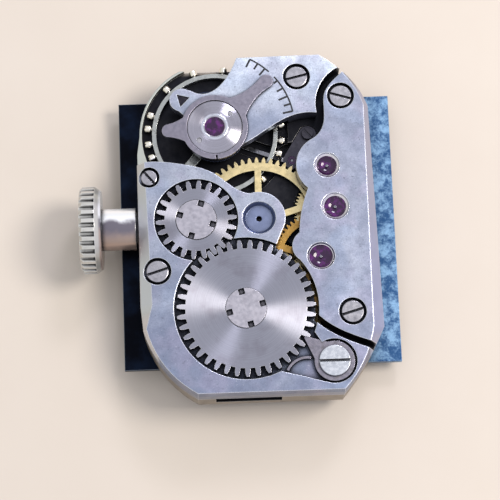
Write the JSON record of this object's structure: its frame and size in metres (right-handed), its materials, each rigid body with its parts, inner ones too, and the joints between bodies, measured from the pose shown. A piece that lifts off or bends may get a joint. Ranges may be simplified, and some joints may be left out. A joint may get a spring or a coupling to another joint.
{
  "type": "mechanical watch movement",
  "caption": "Rectangular hand-wound wristwatch movement with cut corners, seen from the bridge side, with crown, stem and square dial blank.",
  "frame": {"origin": "tip of the minute hand's post, on the axis of the centre wheel", "axes": "+X away from the crown along the stem, +Y towards twelve along the longest side, +Z from the dial towards the bridges"},
  "size_m": [0.0165, 0.018, 0.0049],
  "materials": {
    "nickel_plate": "nickel plated brass, fine satin",
    "steel_wheel": "polished steel with circular graining",
    "steel_screw": "polished steel",
    "dark_steel": "hardened steel",
    "brass": "gilt brass",
    "bronze": "deep gold gilding",
    "ruby": "polished synthetic ruby",
    "blue_steel": "blued spring steel",
    "dial_back": "tarnished dark blue metal",
    "crown_metal": "nickel plated, worn"
  },
  "bodies": {
    "frame": {"main_plate": "nickel_plate", "barrel_bridge": "nickel_plate", "train_bridge": "nickel_plate", "balance_cock": "nickel_plate", "pallet_bridge": "nickel_plate", "dial": "dial_back", "dial_screws": "steel_screw", "bridge_screws": "steel_screw", "small_bridge_screw": "steel_screw", "pallet_bridge_screw": "steel_screw", "crown_wheel_core": "steel_wheel", "click_screw": "steel_screw", "click_spring": "dark_steel", "upper_train_jewels": "ruby", "pivot_jewels": "ruby", "hairspring_stud": "steel_screw", "upper_end_piece": "steel_wheel", "end_piece_screws": "steel_screw", "lower_end_piece": "nickel_plate", "balance_end_stones": "ruby", "setting_bridge": "dark_steel", "yoke_spring": "dark_steel", "keyless_screws": "steel_screw"},
    "escape": {"escape_wheel": "dark_steel", "escape_arbor": "dark_steel"},
    "fourth": {"fourth_wheel": "brass", "fourth_arbor": "dark_steel"},
    "third": {"third_wheel": "bronze", "third_arbor": "dark_steel"},
    "centre": {"centre_wheel": "brass", "centre_arbor": "dark_steel"},
    "barrel": {"barrel_drum": "brass", "barrel_cover": "brass", "mainspring": "blue_steel"},
    "ratchet": {"ratchet_wheel": "steel_wheel", "ratchet_core": "steel_wheel", "barrel_arbor": "dark_steel"},
    "crown_wheel": {"crown_wheel": "steel_wheel"},
    "winding_pinion": {"winding_pinion": "dark_steel"},
    "stem": {"winding_stem": "dark_steel", "crown": "crown_metal"},
    "clutch": {"sliding_pinion": "dark_steel"},
    "setting_lever": {"setting_lever": "dark_steel"},
    "yoke": {"yoke": "dark_steel"},
    "setting_wheel": {"setting_wheel": "dark_steel"},
    "minute": {"minute_wheel": "brass"},
    "cannon": {"cannon_pinion": "dark_steel"},
    "hour": {"hour_wheel": "brass"},
    "pallets": {"pallet_fork": "dark_steel", "pallet_stones": "ruby", "pallet_arbor": "dark_steel"},
    "balance": {"balance_wheel": "brass", "timing_screws": "brass", "balance_staff": "dark_steel", "balance_roller": "dark_steel", "impulse_jewel": "ruby", "hairspring_collet": "brass", "hairspring": "blue_steel"},
    "regulator": {"regulator": "steel_wheel"},
    "click": {"click": "steel_wheel"}
  },
  "joints": [
    {"name": "escape_turn", "type": "hinge", "parent": "frame", "child": "escape", "pos_m": [0.00363, 0.00269, 0.003], "axis": [0, 0, 1], "continuous": true},
    {"name": "fourth_turn", "type": "hinge", "parent": "frame", "child": "fourth", "pos_m": [0.00396, 0.00048, 0.003], "axis": [0, 0, 1], "continuous": true},
    {"name": "third_turn", "type": "hinge", "parent": "frame", "child": "third", "pos_m": [0.00311, -0.00213, 0.003], "axis": [0, 0, 1], "continuous": true},
    {"name": "centre_turn", "type": "hinge", "parent": "frame", "child": "centre", "pos_m": [0, 0, 0.003], "axis": [0, 0, 1], "continuous": true},
    {"name": "barrel_turn", "type": "hinge", "parent": "frame", "child": "barrel", "pos_m": [-0.00084, -0.00473, 0.003], "axis": [0, 0, 1], "continuous": true},
    {"name": "cannon_turn", "type": "hinge", "parent": "frame", "child": "cannon", "pos_m": [0, 0, 0.003], "axis": [0, 0, 1], "continuous": true},
    {"name": "minute_turn", "type": "hinge", "parent": "frame", "child": "minute", "pos_m": [-0.00152, 0.00088, 0.003], "axis": [0, 0, 1], "continuous": true},
    {"name": "hour_turn", "type": "hinge", "parent": "frame", "child": "hour", "pos_m": [0, 0, 0.003], "axis": [0, 0, 1], "continuous": true},
    {"name": "setting_turn", "type": "hinge", "parent": "frame", "child": "setting_wheel", "pos_m": [-0.00309, -0.00019, 0.003], "axis": [0, 0, 1], "continuous": true},
    {"name": "winding_turn", "type": "hinge", "parent": "frame", "child": "winding_pinion", "pos_m": [-0.00475, 0, 0.00261], "axis": [1, 0, 0], "continuous": true},
    {"name": "crown_wheel_turn", "type": "hinge", "parent": "frame", "child": "crown_wheel", "pos_m": [-0.00325, 0, 0.003], "axis": [0, 0, 1], "continuous": true},
    {"name": "ratchet_turn", "type": "hinge", "parent": "frame", "child": "ratchet", "pos_m": [-0.00084, -0.00473, 0.003], "axis": [0, 0, 1], "continuous": true},
    {"name": "stem_pull", "type": "slide", "parent": "winding_pinion", "child": "stem", "axis": [-1, 0, 0], "range_m": [0, 0.0005]},
    {"name": "clutch_shift", "type": "slide", "parent": "winding_pinion", "child": "clutch", "axis": [1, 0, 0], "range_m": [0, 0.00033]},
    {"name": "setting_lever_rock", "type": "hinge", "parent": "frame", "child": "setting_lever", "pos_m": [-0.00515, 0.00239, 0.0016], "axis": [0, 0, -1], "range_deg": [0, 12.2]},
    {"name": "yoke_rock", "type": "hinge", "parent": "frame", "child": "yoke", "pos_m": [-0.00525, -0.00245, 0.0016], "axis": [0, 0, -1], "range_deg": [0, 7.7]},
    {"name": "pallet_rock", "type": "hinge", "parent": "frame", "child": "pallets", "pos_m": [0.00188, 0.00336, 0.0024], "axis": [0, 0, 1], "range_deg": [-5, 5]},
    {"name": "balance_swing", "type": "hinge", "parent": "frame", "child": "balance", "pos_m": [-0.00213, 0.0049, 0.003], "axis": [0, 0, 1], "range_deg": [-270, 270], "stiffness_Nm_per_rad": 0.00000014, "deforming": ["hairspring"]},
    {"name": "regulator_turn", "type": "hinge", "parent": "frame", "child": "regulator", "pos_m": [-0.00213, 0.0049, 0.0043], "axis": [0, 0, 1], "range_deg": [-24, 16]},
    {"name": "click_rock", "type": "hinge", "parent": "frame", "child": "click", "pos_m": [0.00356, -0.00762, 0.004], "axis": [0, 0, -1], "range_deg": [0, 5.5], "stiffness_Nm_per_rad": 0.00002}
  ],
  "couplings": [
    {"joint": "fourth_turn", "follows": "escape_turn", "ratio": -0.1},
    {"joint": "third_turn", "follows": "escape_turn", "ratio": 0.013333},
    {"joint": "centre_turn", "follows": "escape_turn", "ratio": -0.0016667},
    {"joint": "barrel_turn", "follows": "escape_turn", "ratio": 0.00026042},
    {"joint": "cannon_turn", "follows": "escape_turn", "ratio": -0.0016667},
    {"joint": "minute_turn", "follows": "escape_turn", "ratio": 0.00055556},
    {"joint": "hour_turn", "follows": "escape_turn", "ratio": -0.00013889},
    {"joint": "setting_turn", "follows": "escape_turn", "ratio": -0.00125},
    {"joint": "crown_wheel_turn", "follows": "winding_turn", "ratio": -0.59091},
    {"joint": "ratchet_turn", "follows": "winding_turn", "ratio": 0.33333},
    {"joint": "clutch_shift", "follows": "stem_pull", "ratio": 0.64},
    {"joint": "setting_lever_rock", "follows": "stem_pull", "rad_per_m": 418.41},
    {"joint": "yoke_rock", "follows": "stem_pull", "rad_per_m": 261.22}
  ]
}
